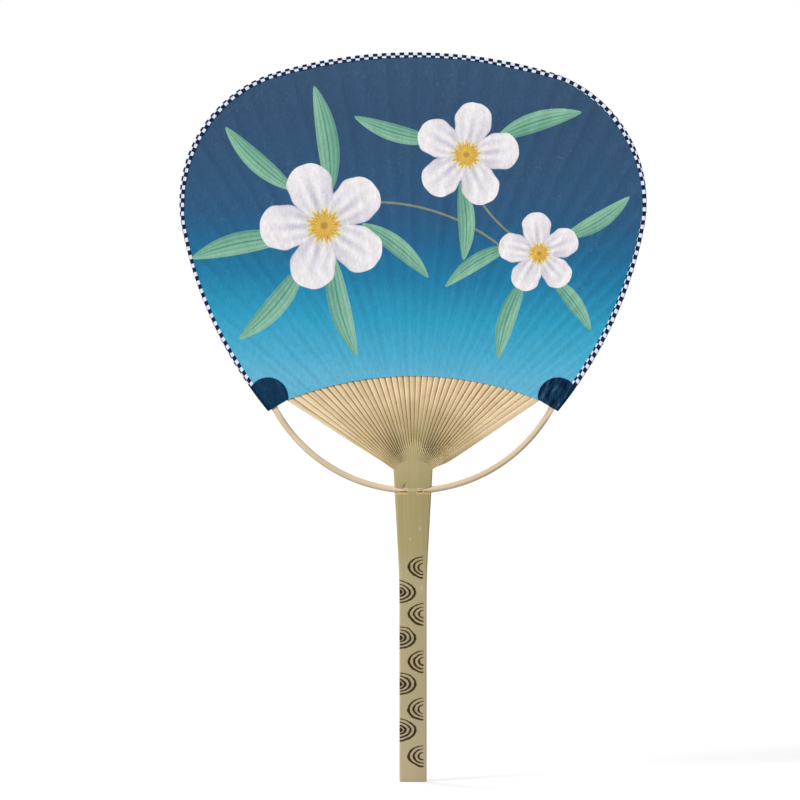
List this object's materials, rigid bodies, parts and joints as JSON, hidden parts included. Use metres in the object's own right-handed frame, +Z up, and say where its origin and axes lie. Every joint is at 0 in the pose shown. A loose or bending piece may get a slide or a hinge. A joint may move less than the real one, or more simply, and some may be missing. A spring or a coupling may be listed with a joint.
{
  "type": "round hand fan",
  "caption": "Flat hand fan: rounded paper face over bamboo ribs split from one flat handle, with a bow through the handle, binding thread and checked edge tape.",
  "frame": {"origin": "centre of the handle's flat butt end", "axes": "+Z up along the handle to the top of the paper, +X to the right as the printed side is seen, +Y from the printed side to the plain back"},
  "size_m": [0.237, 0.0056, 0.37],
  "materials": {
    "handle_bamboo": "satin",
    "rib_bamboo": "matte",
    "bow_bamboo": "matte",
    "thread": "matte",
    "printed_paper": "matte",
    "plain_paper": "matte",
    "edge_tape": "matte",
    "ear_paper": "matte"
  },
  "bodies": {
    "root": {"handle": "handle_bamboo", "rib_01": "rib_bamboo", "rib_02": "rib_bamboo", "rib_03": "rib_bamboo", "rib_04": "rib_bamboo", "rib_05": "rib_bamboo", "rib_06": "rib_bamboo", "rib_07": "rib_bamboo", "rib_08": "rib_bamboo", "rib_09": "rib_bamboo", "rib_10": "rib_bamboo", "rib_11": "rib_bamboo", "rib_12": "rib_bamboo", "rib_13": "rib_bamboo", "rib_14": "rib_bamboo", "rib_15": "rib_bamboo", "rib_16": "rib_bamboo", "rib_17": "rib_bamboo", "rib_18": "rib_bamboo", "rib_19": "rib_bamboo", "rib_20": "rib_bamboo", "rib_21": "rib_bamboo", "rib_22": "rib_bamboo", "rib_23": "rib_bamboo", "rib_24": "rib_bamboo", "rib_25": "rib_bamboo", "rib_26": "rib_bamboo", "rib_27": "rib_bamboo", "rib_28": "rib_bamboo", "rib_29": "rib_bamboo", "rib_30": "rib_bamboo", "rib_31": "rib_bamboo", "rib_32": "rib_bamboo", "rib_33": "rib_bamboo", "rib_34": "rib_bamboo", "rib_35": "rib_bamboo", "rib_36": "rib_bamboo", "rib_37": "rib_bamboo", "rib_38": "rib_bamboo", "rib_39": "rib_bamboo", "bow": "bow_bamboo", "binding_thread": "thread", "front_paper": "printed_paper", "back_paper": "plain_paper", "edge_binding": "edge_tape", "left_ear": "ear_paper", "right_ear": "ear_paper"}
  },
  "joints": []
}
